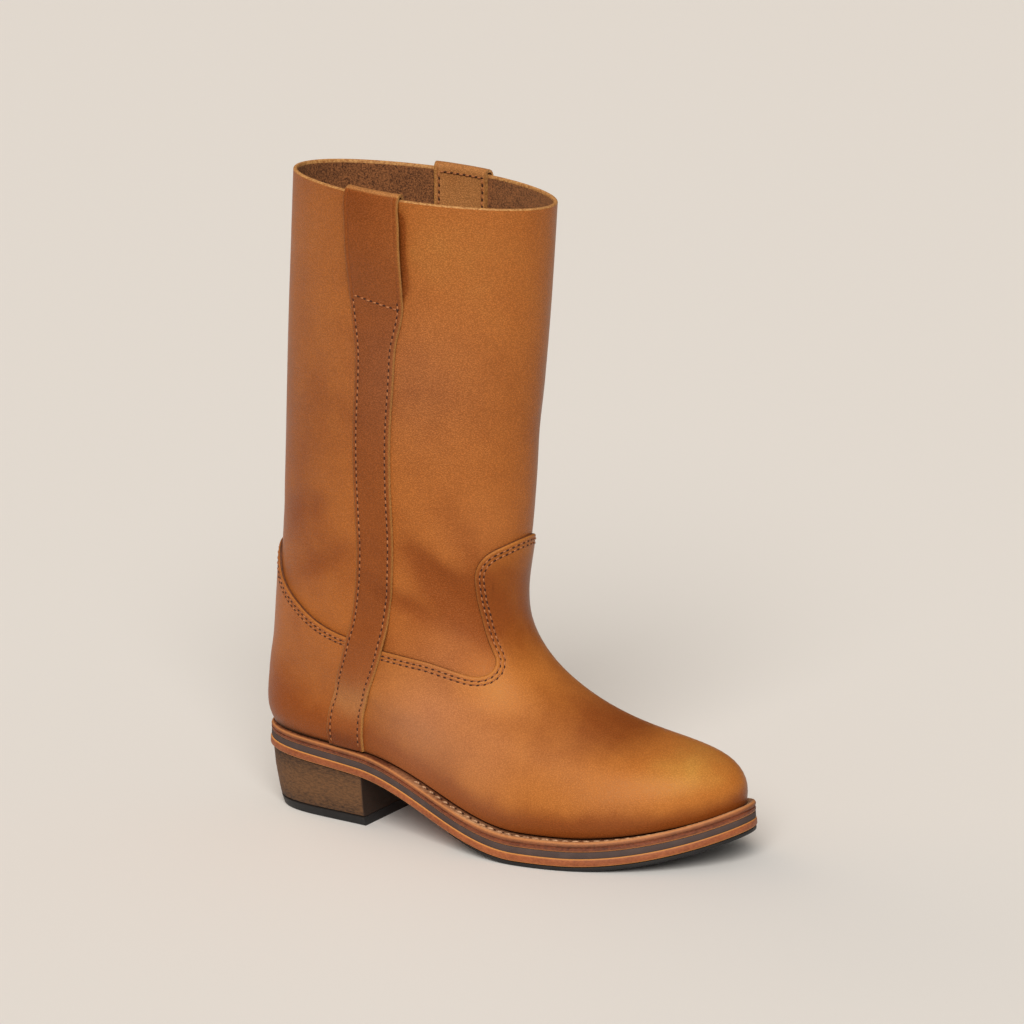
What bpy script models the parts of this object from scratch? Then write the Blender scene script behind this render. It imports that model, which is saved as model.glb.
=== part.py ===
"""A right-foot pull-on riding boot in tan leather, built as a bootmaker puts it together."""

import math
from collections import namedtuple

import bmesh
import bpy
import numpy as np

MM = 0.001

# Driving dimensions in millimetres. X runs from heel to toe, Y to the inner side of the foot, Z up.
SOLE_LENGTH = 300.0
HEEL_SEAT = 42.0
SEAT_END_X = 73.0
SEAT_SLOPE = 0.075
FOREFOOT = 15.2
ARCH_END_X = 186.0
SPRING_X = 210.0
TOE_SPRING = 17.9
BREAST_X = 77.0
HALF_SOLE_X = 176.0
WALL = 2.2
GAP = 0.4
OVERLAY_GAP = 0.9
OVERLAY_LEATHER = 1.2
STRIP_LEATHER = 1.6
LEVEL_LENGTH = 356.0

# Points round each section, and how far up the boot the rows of the upper lie.
AROUND = 56
LOW_ROWS = (0, 0.015, 0.035, 0.06, 0.09, 0.125, 0.16, 0.195, 0.23, 0.265, 0.3, 0.34, 0.39, 0.45)
UPPER_ROWS = (*LOW_ROWS, 0.55, 0.7, 0.85, 1)
STRIP_COLUMNS = 4
# Halvings of a search along the surface, which end far below a thousandth of a millimetre.
HALVINGS = 40

# Widths are taken at these shares of a section's length, from its back to its front.
STATIONS = (0.04, 0.13, 0.40, 0.68, 0.90)
# The centre line of the foot swings to the inner side at the toe, in shares of the same length.
SWING_STATIONS = (0.0, 0.13, 0.40, 0.68, 0.90, 1.0)
SWING = (0.0, 0.0, -3.0, -1.5, 3.0, 5.5)

# One closed loop of the upper's outer skin each, from the edge on the welt to the collar.
Section = namedtuple("Section", "name back_x back_z front_x front_z follow swing back heel waist ball toe")


def sole_height(x):
    """Height of the welt's top over the floor: a sloping heel seat, the arch, the ball and the toe spring."""
    x = np.asarray(x, float)
    run = ARCH_END_X - SEAT_END_X
    u = np.clip((x - SEAT_END_X) / run, 0, 1)
    drop = (HEEL_SEAT - FOREFOOT) * (1 + 2 * u) - SEAT_SLOPE * run * u
    arch = FOREFOOT + drop * (1 - u) ** 2
    seat = SEAT_SLOPE * np.clip(SEAT_END_X - x, 0, None)
    spring = np.clip((x - SPRING_X) / (SOLE_LENGTH - SPRING_X), 0, None) ** 2
    return arch + seat + TOE_SPRING * spring


FEATHER_BACK_X = 5.6
FEATHER_FRONT_X = 287.4
FEATHER_BACK_Z = float(sole_height(FEATHER_BACK_X)) + GAP
FEATHER_FRONT_Z = float(sole_height(FEATHER_FRONT_X)) + GAP
FEATHER_ENDS = (FEATHER_BACK_X, FEATHER_BACK_Z, FEATHER_FRONT_X, FEATHER_FRONT_Z)
SECTIONS = (
    Section("feather", *FEATHER_ENDS, 1.0, 1.0, 50.0, 40.6, 37.0, 51.4, 49.9),
    Section("bulge", 2.1, 57.0, 287.4, 41.2, 0.9, 1.0, 55.4, 45.8, 35.4, 53.8, 54.1),
    Section("toe top", 1.8, 67.0, 279.3, 50.8, 0.6, 1.0, 53.5, 44.5, 35.9, 47.9, 51.1),
    Section("low vamp", 2.7, 76.0, 252.4, 58.2, 0.3, 1.0, 50.6, 42.6, 36.0, 41.4, 41.8),
    Section("mid vamp", 4.0, 86.0, 213.8, 68.5, 0.1, 0.9, 46.8, 41.2, 36.0, 36.0, 36.4),
    Section("instep", 6.3, 98.0, 176.6, 89.2, 0.0, 0.7, 44.0, 41.0, 36.6, 36.6, 38.4),
    Section("throat", 8.3, 118.0, 158.5, 115.7, 0.0, 0.4, 42.0, 41.0, 39.6, 39.2, 40.5),
    Section("tongue top", 11.8, 155.5, 160.2, 155.0, 0.0, 0.2, 42.6, 42.4, 42.5, 42.3, 41.8),
    Section("low shaft", 15.0, 206.0, 166.4, 207.5, 0.0, 0.0, 43.5, 43.5, 44.5, 44.5, 43.5),
    Section("mid shaft", 18.6, 272.0, 173.4, 272.0, 0.0, 0.0, 44.5, 44.5, 46.0, 46.0, 45.0),
    Section("collar", 24.5, 359.5, 179.7, 346.0, 0.0, 0.0, 46.0, 46.0, 48.0, 48.0, 46.5),
)

# The vamp's top edge in side view, from the seam under the side strip to the front of the tongue.
# foot is where the grid line of that point meets the welt, in degrees round from the back, or None at the seam.
EdgePoint = namedtuple("EdgePoint", "x z foot")
# An x beyond the skin stands for the middle line of the back or of the front.
BACK_LINE = -99.0
FRONT_LINE = 999.0
VAMP_EDGE = (
    EdgePoint(85.0, 105.4, None),
    EdgePoint(94.4, 102.8, 63),
    EdgePoint(103.0, 101.4, 70),
    EdgePoint(111.5, 100.0, 76),
    EdgePoint(119.5, 98.6, 82),
    EdgePoint(127.3, 96.5, 88),
    EdgePoint(134.0, 94.5, 94),
    EdgePoint(140.0, 92.7, 100),
    EdgePoint(145.0, 91.7, 106),
    EdgePoint(149.0, 91.9, 112),
    EdgePoint(152.1, 93.5, 118),
    EdgePoint(153.7, 96.2, 123.5),
    EdgePoint(153.7, 99.4, 129),
    EdgePoint(152.1, 103.3, 134),
    EdgePoint(149.6, 108.8, 139),
    EdgePoint(147.5, 115.0, 143.5),
    EdgePoint(145.8, 122.5, 148.5),
    EdgePoint(144.2, 131.3, 154),
    EdgePoint(143.6, 140.0, 160),
    EdgePoint(143.8, 146.5, 163.5),
    EdgePoint(145.9, 153.0, 166.5),
    EdgePoint(148.7, 157.0, 169),
    EdgePoint(152.0, 159.9, 171.5),
    EdgePoint(156.0, 162.3, 174),
    EdgePoint(159.4, 164.3, 177),
    EdgePoint(FRONT_LINE, 165.6, 180),
)
# The counter's top edge in side view, from the same seam to its peak at the back.
COUNTER_EDGE = (
    EdgePoint(83.6, 106.3, None),
    EdgePoint(70.4, 108.4, 50),
    EdgePoint(62.3, 110.3, 46),
    EdgePoint(54.5, 112.8, 42),
    EdgePoint(47.1, 116.0, 37.5),
    EdgePoint(39.2, 120.5, 33),
    EdgePoint(29.5, 126.6, 27.5),
    EdgePoint(20.8, 134.4, 21),
    EdgePoint(15.8, 143.0, 13.5),
    EdgePoint(13.3, 148.0, 6.5),
    EdgePoint(BACK_LINE, 150.5, 0),
)
SEAM_FOOT_X = 66.7
SEAM_GAP = 0.6
# Levels of the lower edges, just over the welt.
OVERLAY_FOOT = 0.004
STRIP_FOOT = 0.006

# The side strip in side view, with no z for its foot just over the welt. lift is how far its underside stands
# off the upper: over the overlays below, on the upper at mid height, and bowed out for the pull loop at the top.
StripRow = namedtuple("StripRow", "z centre width lift")
STRIP_ROWS = (
    StripRow(None, 66.9, 23.4, 2.7),
    StripRow(52.0, 66.9, 23.3, 2.7),
    StripRow(60.0, 67.8, 23.1, 2.7),
    StripRow(70.0, 70.6, 22.8, 2.7),
    StripRow(80.0, 74.6, 22.9, 2.7),
    StripRow(91.0, 78.8, 23.2, 2.7),
    StripRow(102.0, 82.8, 23.0, 2.7),
    StripRow(111.0, 85.7, 22.6, 2.7),
    StripRow(120.0, 87.8, 22.2, 0.5),
    StripRow(135.0, 90.6, 21.8, 0.4),
    StripRow(159.0, 93.0, 21.8, 0.4),
    StripRow(187.0, 93.0, 22.3, 0.4),
    StripRow(225.0, 93.8, 23.0, 0.4),
    StripRow(261.0, 97.0, 23.8, 0.4),
    StripRow(273.0, 97.9, 25.2, 0.4),
    StripRow(283.0, 98.8, 28.8, 0.4),
    StripRow(291.0, 99.4, 31.2, 0.5),
    StripRow(299.0, 99.8, 31.6, 1.7),
    StripRow(309.0, 100.1, 31.6, 3.2),
    StripRow(320.0, 100.2, 31.8, 4.0),
    StripRow(332.0, 100.0, 32.2, 3.9),
    StripRow(341.0, 99.5, 32.7, 3.3),
)
# The fold over the collar and the tab inside: heights over the collar and stand-offs of both faces.
FoldRow = namedtuple("FoldRow", "outer_rise outer_out inner_rise inner_out")
FOLD_ROWS = (
    FoldRow(-5.0, 4.2, -5.0, 2.6),
    FoldRow(-1.5, 3.5, -1.5, 1.9),
    FoldRow(1.3, 2.3, 0.5, 1.0),
    FoldRow(2.6, 0.6, 1.0, 0.0),
    FoldRow(2.9, -1.1, 1.2, -1.1),
    FoldRow(2.6, -2.8, 1.0, -2.2),
    FoldRow(1.2, -4.1, 0.4, -2.8),
    FoldRow(-2.0, -4.3, -2.0, -2.7),
    FoldRow(-15.0, -4.2, -15.0, -2.6),
    FoldRow(-30.0, -4.2, -30.0, -2.6),
    FoldRow(-45.0, -4.2, -45.0, -2.6),
    FoldRow(-60.0, -4.2, -60.0, -2.6),
)
STRIP_CENTRE_AT_COLLAR = 98.8
STRIP_WIDTH_AT_COLLAR = 33.0

# How far the welt stands out beyond the overlays, at shares of the sole's length.
LEDGE_STATIONS = (0.0, 0.13, 0.30, 0.45, 0.68, 0.90, 1.0)
LEDGE = (2.2, 2.4, 3.8, 5.4, 7.0, 6.4, 4.8)

# Profiles of the bottom pieces: edge is measured outward from the sole's edge line, or from the upper's skin
# where inside is set, and depth is measured down from the welt's top.
Layer = namedtuple("Layer", "edge depth inside")
WELT = (
    Layer(-11.0, 4.7, True),
    Layer(-11.0, 0.0, True),
    Layer(-3.0, 0.0, False),
    Layer(-1.0, 0.5, False),
    Layer(0.0, 1.8, False),
    Layer(0.1, 4.7, False),
)
INSOLE = (
    Layer(-11.4, 4.7, True),
    Layer(-11.4, -0.3, True),
    Layer(-3.2, -0.8, True),
    Layer(-3.4, -3.2, True),
)
MIDSOLE = (Layer(0.3, 8.2, False), Layer(0.1, 5.0, False))
OUTSOLE = (Layer(0.2, 12.7, False), Layer(0.9, 11.8, False), Layer(0.3, 8.5, False))
HALF_SOLE = (Layer(0.1, 15.2, False), Layer(0.5, 14.4, False), Layer(0.4, 13.0, False))
# The heel narrows towards the floor, more at its back than at its sides.
HeelRing = namedtuple("HeelRing", "side back height")
BLOCK_TOP = HeelRing(-0.2, -0.2, None)
BLOCK_MID = HeelRing(-1.8, -2.8, 16.0)
BLOCK_FOOT = HeelRing(-3.0, -4.6, 5.5)
LIFT_TOP = HeelRing(-3.0, -4.7, 5.2)
LIFT_FOOT = HeelRing(-3.8, -6.2, 0.0)
HEEL_DEPTH = 13.0
HEEL_POINTS = 25
# The heel's outline is read this far round to both sides of the back, in so many fine steps, and counts as
# back rather than side over this part of the turn.
HEEL_SWEEP = 1.4
HEEL_STEPS = 1400
HEEL_BACK_SWEEP = 0.98
# The half sole's straight back edge lies between two of the sole's stations, this far round from the back.
HALF_SOLE_TURN = 1.85

# Base colours are linear, each with its roughness.
FINISH = {
    "upper": ((0.33, 0.125, 0.035), 0.5),
    "vamp": ((0.36, 0.135, 0.035), 0.45),
    "counter": ((0.31, 0.11, 0.03), 0.48),
    "side_strip_outer": ((0.24, 0.085, 0.026), 0.5),
    "side_strip_inner": ((0.24, 0.085, 0.026), 0.5),
    "insole": ((0.30, 0.17, 0.08), 0.8),
    "welt": ((0.26, 0.09, 0.038), 0.55),
    "midsole": ((0.085, 0.065, 0.055), 0.75),
    "outsole": ((0.33, 0.12, 0.045), 0.6),
    "half_sole": ((0.012, 0.012, 0.013), 0.7),
    "heel_block": ((0.15, 0.085, 0.045), 0.75),
    "heel_lift": ((0.012, 0.012, 0.013), 0.7),
}


def smooth_curve(knots, rows):
    """The natural cubic spline through one row of values at each knot."""
    knots = np.asarray(knots, float)
    rows = np.asarray(rows, float).reshape(len(knots), -1)
    step = np.diff(knots)
    slope = np.diff(rows, axis=0) / step[:, None]
    system = np.eye(len(knots))
    bend = np.zeros_like(rows)
    for i in range(1, len(knots) - 1):
        system[i, i - 1 : i + 2] = step[i - 1], 2 * (step[i - 1] + step[i]), step[i]
        bend[i] = 6 * (slope[i] - slope[i - 1])
    bend = np.linalg.solve(system, bend)

    def at(values):
        values = np.atleast_1d(np.asarray(values, float))
        i = np.clip(np.searchsorted(knots, values) - 1, 0, len(step) - 1)
        d = np.clip(values, knots[0], knots[-1]) - knots[i]
        beyond = values - np.clip(values, knots[0], knots[-1])
        first = slope[i] - step[i][:, None] * (2 * bend[i] + bend[i + 1]) / 6
        third = (bend[i + 1] - bend[i]) / (6 * step[i][:, None])
        d, beyond = d[:, None], beyond[:, None]
        inside = rows[i] + first * d + bend[i] / 2 * d**2 + third * d**3
        return inside + beyond * (first + bend[i] * d + 3 * third * d**2)

    return at


def section_levels(sections):
    """How far up the boot each section lies: 0 at the first, 1 at the last, by the mean of front and back."""
    fronts = np.array([(s.front_x, s.front_z) for s in sections])
    backs = np.array([(s.back_x, s.back_z) for s in sections])
    steps = np.linalg.norm(np.diff(fronts, axis=0), axis=1) + np.linalg.norm(np.diff(backs, axis=0), axis=1)
    levels = np.concatenate([[0], np.cumsum(steps)])
    return levels / levels[-1]


width_shares = smooth_curve(STATIONS, np.eye(len(STATIONS)))
centre_line = smooth_curve(SWING_STATIONS, SWING)
ledge_at = smooth_curve(LEDGE_STATIONS, LEDGE)
section_at = smooth_curve(section_levels(SECTIONS), [s[1:] for s in SECTIONS])


def outline(turn, row):
    """Points of one section. turn goes round from the back, over the outer side, the front and the inner side."""
    back_x, back_z, front_x, front_z, follow, swing = row.T[:6]
    share = (1 - np.cos(turn)) / 2
    x = back_x + (front_x - back_x) * share
    width = (width_shares(share) * row[:, 6:]).sum(axis=1)
    y = swing * centre_line(share)[:, 0] - np.sin(turn) * width
    chord = sole_height(back_x) + (sole_height(front_x) - sole_height(back_x)) * share
    z = back_z + (front_z - back_z) * share + follow * (sole_height(x) - chord)
    return np.stack([x, y, z], axis=1)


def upper_skin(turn, level):
    """Points of the upper's outer skin."""
    return outline(turn, section_at(level))


def upper_point(turn, level, out=0.0):
    """Points that stand out from the upper's skin, along its normal, by so many millimetres."""
    turn, level, out = np.broadcast_arrays(*[np.asarray(value, float) for value in (turn, level, out)])
    shape = turn.shape
    turn, level, out = turn.ravel(), level.ravel(), out.ravel()
    e = 1e-4
    around = upper_skin(turn + e, level) - upper_skin(turn - e, level)
    up = upper_skin(turn, level + e) - upper_skin(turn, level - e)
    normal = np.cross(around, up)
    normal /= np.linalg.norm(normal, axis=1)[:, None]
    return (upper_skin(turn, level) + normal * out[:, None]).reshape(shape + (3,))


def turn_at(x, level):
    """The turn, on the outer side, of the point of this level at this distance from the heel."""
    row = section_at(level)
    share = np.clip((x - row[:, 0]) / (row[:, 2] - row[:, 0]), 0, 1)
    return np.arccos(1 - 2 * share)


def side_spot(x, z):
    """The turn and level of the outer side's point that lies here in side view."""
    low, high = 0.0, 1.0
    for _ in range(HALVINGS):
        level = (low + high) / 2
        turn = turn_at(x, level)
        if upper_skin(turn, np.array([level]))[0, 2] < z:
            low = level
        else:
            high = level
    return float(turn[0]), level


def shell_faces(rows, columns, closed):
    """Quads of a sheet with two faces: the outer grid's points come first, then the inner grid's."""
    inner = rows * columns
    spans = columns if closed else columns - 1
    faces = []
    for i in range(rows - 1):
        for j in range(spans):
            a, b = i * columns + j, i * columns + (j + 1) % columns
            faces.append((a, b, b + columns, a + columns))
            faces.append((inner + b, inner + a, inner + a + columns, inner + b + columns))
    for j in range(spans):
        a, b = j, (j + 1) % columns
        faces.append((b, a, inner + a, inner + b))
        a, b = a + (rows - 1) * columns, b + (rows - 1) * columns
        faces.append((a, b, inner + b, inner + a))
    if not closed:
        for i in range(rows - 1):
            a, b = i * columns, (i + 1) * columns
            faces.append((a, b, inner + b, inner + a))
            a, b = a + columns - 1, b + columns - 1
            faces.append((b, a, inner + a, inner + b))
    return faces


def sheet(outer, inner, closed=False):
    """Points and faces of a leather sheet between two grids of points."""
    rows, columns = outer.shape[:2]
    return np.concatenate([outer.reshape(-1, 3), inner.reshape(-1, 3)]), shell_faces(rows, columns, closed)


def stack(rings, cap=None):
    """Points and faces of a body with one ring of points per step. With no cap the last ring joins the first."""
    count = len(rings[0])
    faces = []
    for i in range(len(rings) - (cap is not None)):
        low, high = i * count, (i + 1) % len(rings) * count
        faces += [(low + j, low + (j + 1) % count, high + (j + 1) % count, high + j) for j in range(count)]
    if cap is not None:
        for start in (0, (len(rings) - 1) * count):
            faces += [tuple(start + k for k in face) for face in cap(count)]
    return np.concatenate(rings), faces


def whole_cap(count):
    """Faces across a ring that starts at the back of the sole: triangles at its two tips, quads between."""
    half = count // 2
    quads = [(k, k + 1, count - k - 1, count - k) for k in range(1, half - 1)]
    return [(0, 1, count - 1), *quads, (half - 1, half, half + 1)]


def cut_cap(count):
    """Faces across a ring that starts and ends at a straight cut and has a point at its tip."""
    half = count // 2
    quads = [(k, k + 1, count - k - 2, count - k - 1) for k in range(half - 1)]
    return [*quads, (half - 1, half, half + 1)]


def make_upper():
    turn, level = np.meshgrid(np.arange(AROUND) * 2 * np.pi / AROUND, UPPER_ROWS)
    return sheet(upper_point(turn, level), upper_point(turn, level, -WALL), closed=True)


def overlay_grid(edge, seam_shift):
    """Turns and levels of an overlay's outer half: a column per point of its top edge, rows as on the upper."""
    spots = np.array([side_spot(p.x, p.z) for p in edge])
    top = spots[-1, 1]
    rows = np.array([OVERLAY_FOOT, *[r for r in UPPER_ROWS if 0 < r < top - 0.02], top])
    shares = ((rows - OVERLAY_FOOT) / (top - OVERLAY_FOOT))[:, None]
    seam_foot = turn_at(SEAM_FOOT_X + seam_shift, 0.0)[0]
    feet = np.array([seam_foot if p.foot is None else math.radians(p.foot) for p in edge])
    turn = feet + (spots[:, 0] - feet) * shares
    return turn, OVERLAY_FOOT + (spots[:, 1] - OVERLAY_FOOT) * shares


def both_halves(turn, level, middle):
    """The outer half's grid and its mirror image on the inner side; the last column lies on the middle line."""
    mirrored = 2 * middle - turn[:, -2::-1]
    return np.concatenate([turn, mirrored], axis=1), np.concatenate([level, level[:, -2::-1]], axis=1)


def overlay(turn, level):
    return sheet(upper_point(turn, level, OVERLAY_GAP + OVERLAY_LEATHER), upper_point(turn, level, OVERLAY_GAP))


def make_vamp():
    turn, level = overlay_grid(VAMP_EDGE, SEAM_GAP)
    return overlay(*both_halves(turn, level, math.pi))


def make_counter():
    turn, level = overlay_grid(COUNTER_EDGE, -SEAM_GAP)
    turn, level = both_halves(turn, level, 0.0)
    return overlay(turn[:, ::-1], level[:, ::-1])


def make_strip(side):
    """The ribbon of one side. side is 1 for the outer side and -1 for the inner one."""
    across = np.linspace(-0.5, 0.5, STRIP_COLUMNS + 1)
    outer, inner = [], []
    for row in STRIP_ROWS:
        level = STRIP_FOOT if row.z is None else side_spot(row.centre, row.z)[1]
        turn = side * np.concatenate([turn_at(row.centre + row.width * c, level) for c in across])
        outer.append(upper_point(turn, level, row.lift + STRIP_LEATHER))
        inner.append(upper_point(turn, level, row.lift))
    turn = side * np.concatenate([turn_at(STRIP_CENTRE_AT_COLLAR + STRIP_WIDTH_AT_COLLAR * c, 1.0) for c in across])
    for row in FOLD_ROWS:
        outer.append(upper_point(turn, 1 + row.outer_rise / LEVEL_LENGTH, row.outer_out))
        inner.append(upper_point(turn, 1 + row.inner_rise / LEVEL_LENGTH, row.inner_out))
    return sheet(np.array(outer), np.array(inner))


def plan_outline(turn, edge, inside):
    """The sole's edge line, or the upper's own line where inside is set, moved outward in plan view."""
    turn = np.asarray(turn, float)
    level = np.zeros_like(turn)
    e = 1e-3
    along = upper_skin(turn + e, level) - upper_skin(turn - e, level)
    normal = np.stack([along[:, 1], -along[:, 0]], axis=1)
    normal /= np.linalg.norm(normal, axis=1)[:, None]
    base = 0.0 if inside else OVERLAY_GAP + OVERLAY_LEATHER + ledge_at((1 - np.cos(turn)) / 2)[:, 0]
    return upper_skin(turn, level)[:, :2] + normal * (base + np.broadcast_to(edge, turn.shape))[:, None]


def layer_ring(turn, layer):
    plan = plan_outline(turn, layer.edge, layer.inside)
    return np.column_stack([plan, sole_height(plan[:, 0]) - layer.depth])


FULL_TURNS = np.arange(AROUND) * 2 * np.pi / AROUND


def make_welt():
    return stack([layer_ring(FULL_TURNS, layer) for layer in WELT])


def make_plate(layers):
    return stack([layer_ring(FULL_TURNS, layer) for layer in layers], whole_cap)


def cut_turns(edge, x):
    """The turns, on the outer and the inner side, where the sole's outline crosses this distance from the heel."""
    turns = []
    for low, high in ((0.0, math.pi), (2 * math.pi, math.pi)):
        for _ in range(HALVINGS):
            mid = (low + high) / 2
            if plan_outline(np.array([mid]), edge, False)[0, 0] < x:
                low = mid
            else:
                high = mid
        turns.append(mid)
    return turns


def make_half_sole():
    rings = []
    for layer in HALF_SOLE:
        start, end = cut_turns(layer.edge, HALF_SOLE_X)
        kept = FULL_TURNS[(FULL_TURNS > HALF_SOLE_TURN) & (FULL_TURNS < 2 * np.pi - HALF_SOLE_TURN)]
        rings.append(layer_ring(np.array([start, *kept, end]), layer))
    return stack(rings, cut_cap)


def heel_ring(ring):
    """One outline of the heel, from the breast's inner corner round the back to its outer corner."""
    turn = np.linspace(-HEEL_SWEEP, HEEL_SWEEP, HEEL_STEPS + 1)
    backness = np.cos(np.clip(turn / HEEL_BACK_SWEEP, -1, 1) * np.pi / 2) ** 2
    plan = plan_outline(turn, ring.side + (ring.back - ring.side) * backness, False)
    first, last = np.nonzero(plan[:, 0] <= BREAST_X)[0][[0, -1]]
    ends = []
    for a, b in ((first - 1, first), (last, last + 1)):
        share = (BREAST_X - plan[a, 0]) / (plan[b, 0] - plan[a, 0])
        ends.append(plan[a] + share * (plan[b] - plan[a]))
    plan = np.concatenate([ends[:1], plan[first : last + 1], ends[1:]])
    along = np.concatenate([[0], np.cumsum(np.linalg.norm(np.diff(plan, axis=0), axis=1))])
    spread = np.linspace(0, along[-1], HEEL_POINTS)
    plan = np.stack([np.interp(spread, along, plan[:, k]) for k in (0, 1)], axis=1)
    height = sole_height(plan[:, 0]) - HEEL_DEPTH if ring.height is None else np.full(len(plan), ring.height)
    return np.column_stack([plan, height])


def make_heel(rings):
    return stack([heel_ring(ring) for ring in rings], cut_cap)


def build_pieces():
    return {
        "upper": make_upper(),
        "vamp": make_vamp(),
        "counter": make_counter(),
        "side_strip_outer": make_strip(1),
        "side_strip_inner": make_strip(-1),
        "insole": make_plate(INSOLE),
        "welt": make_welt(),
        "midsole": make_plate(MIDSOLE),
        "outsole": make_plate(OUTSOLE),
        "half_sole": make_half_sole(),
        "heel_block": make_heel((BLOCK_FOOT, BLOCK_MID, BLOCK_TOP)),
        "heel_lift": make_heel((LIFT_FOOT, LIFT_TOP)),
    }


def add_object(name, points, faces):
    mesh = bpy.data.meshes.new(name)
    mesh.from_pydata([tuple(p) for p in points * MM], [], faces)
    shape = bmesh.new()
    shape.from_mesh(mesh)
    bmesh.ops.recalc_face_normals(shape, faces=shape.faces)
    if shape.calc_volume(signed=True) < 0:
        bmesh.ops.reverse_faces(shape, faces=shape.faces)
    shape.to_mesh(mesh)
    shape.free()
    obj = bpy.data.objects.new(name, mesh)
    bpy.context.scene.collection.objects.link(obj)
    colour, roughness = FINISH[name]
    material = bpy.data.materials.new(name)
    material.use_nodes = True
    principled = material.node_tree.nodes["Principled BSDF"]
    principled.inputs["Base Color"].default_value = (*colour, 1)
    principled.inputs["Roughness"].default_value = roughness
    mesh.materials.append(material)
    return obj


def main():
    for obj in list(bpy.data.objects):
        bpy.data.objects.remove(obj)
    pieces = build_pieces()
    everything = np.concatenate([points for points, _ in pieces.values()])
    low, high = everything.min(axis=0), everything.max(axis=0)
    shift = np.array([(low[0] + high[0]) / 2, (low[1] + high[1]) / 2, low[2]])
    for name, (points, faces) in pieces.items():
        add_object(name, points - shift, faces)


if __name__ == "__main__":
    main()
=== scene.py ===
import math

import bpy
import numpy as np
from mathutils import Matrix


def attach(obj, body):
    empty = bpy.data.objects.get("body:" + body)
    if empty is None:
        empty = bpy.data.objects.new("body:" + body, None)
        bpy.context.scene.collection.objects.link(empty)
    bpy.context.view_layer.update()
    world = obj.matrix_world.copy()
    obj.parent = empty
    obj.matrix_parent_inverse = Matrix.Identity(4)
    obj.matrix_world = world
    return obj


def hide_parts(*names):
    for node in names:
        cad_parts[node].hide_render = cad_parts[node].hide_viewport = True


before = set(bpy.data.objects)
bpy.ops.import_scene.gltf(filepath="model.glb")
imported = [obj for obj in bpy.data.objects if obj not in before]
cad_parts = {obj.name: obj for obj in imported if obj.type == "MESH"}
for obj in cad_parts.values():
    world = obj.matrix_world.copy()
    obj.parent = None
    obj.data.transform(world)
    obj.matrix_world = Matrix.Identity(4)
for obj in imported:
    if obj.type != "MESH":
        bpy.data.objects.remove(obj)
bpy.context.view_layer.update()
mm = 0.001  # the tables below are in millimetres, the frame is in metres
bpy.ops.object.select_all(action="DESELECT")

# The last. x runs from heel to toe, y to the inner side of the foot, z up from the floor.
last = {
    "length": 300.0,
    "heelSeat": 42.0,
    "seatEnd": 73.0,
    "seatSlope": 0.075,
    "forefoot": 15.2,
    "archEnd": 186.0,
    "springStart": 210.0,
    "toeSpring": 17.9,
    "featherEnds": (5.6, 287.4),  # x at the back and at the front
    "featherGap": 0.4,
    "shaftLength": 356.0,
    "middle": (147.42, -1.71, 0.0),  # the frame's origin, seen from the back of the heel
    "stations": (0.04, 0.13, 0.40, 0.68, 0.90),
    "swingStations": (0.0, 0.13, 0.40, 0.68, 0.90, 1.0),
    "swing": (0.0, 0.0, -3.0, -1.5, 3.0, 5.5),
    "halvings": 40,  # steps of the search for a spot in side view
}


def soleHeight(x):
    x = np.asarray(x, float)
    run = last["archEnd"] - last["seatEnd"]
    u = np.clip((x - last["seatEnd"]) / run, 0, 1)
    drop = (last["heelSeat"] - last["forefoot"]) * (1 + 2 * u) - last["seatSlope"] * run * u
    seat = last["seatSlope"] * np.clip(last["seatEnd"] - x, 0, None)
    spring = np.clip((x - last["springStart"]) / (last["length"] - last["springStart"]), 0, None) ** 2
    return last["forefoot"] + drop * (1 - u) ** 2 + seat + last["toeSpring"] * spring


featherBack, featherFront = ((x, float(soleHeight(x)) + last["featherGap"]) for x in last["featherEnds"])
# back x, back z, front x, front z, follow, swing, then the widths at back, heel, waist, ball and toe
sections = np.array([
    (*featherBack, *featherFront, 1.0, 1.0, 50.0, 40.6, 37.0, 51.4, 49.9),  # feather edge on the welt
    (2.1, 57.0, 287.4, 41.2, 0.9, 1.0, 55.4, 45.8, 35.4, 53.8, 54.1),  # bulge of heel and toe
    (1.8, 67.0, 279.3, 50.8, 0.6, 1.0, 53.5, 44.5, 35.9, 47.9, 51.1),  # top of the toe
    (2.7, 76.0, 252.4, 58.2, 0.3, 1.0, 50.6, 42.6, 36.0, 41.4, 41.8),
    (4.0, 86.0, 213.8, 68.5, 0.1, 0.9, 46.8, 41.2, 36.0, 36.0, 36.4),
    (6.3, 98.0, 176.6, 89.2, 0.0, 0.7, 44.0, 41.0, 36.6, 36.6, 38.4),  # instep
    (8.3, 118.0, 158.5, 115.7, 0.0, 0.4, 42.0, 41.0, 39.6, 39.2, 40.5),  # ankle
    (11.8, 155.5, 160.2, 155.0, 0.0, 0.2, 42.6, 42.4, 42.5, 42.3, 41.8),
    (15.0, 206.0, 166.4, 207.5, 0.0, 0.0, 43.5, 43.5, 44.5, 44.5, 43.5),
    (18.6, 272.0, 173.4, 272.0, 0.0, 0.0, 44.5, 44.5, 46.0, 46.0, 45.0),
    (24.5, 359.5, 179.7, 346.0, 0.0, 0.0, 46.0, 46.0, 48.0, 48.0, 46.5),  # collar
])


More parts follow.
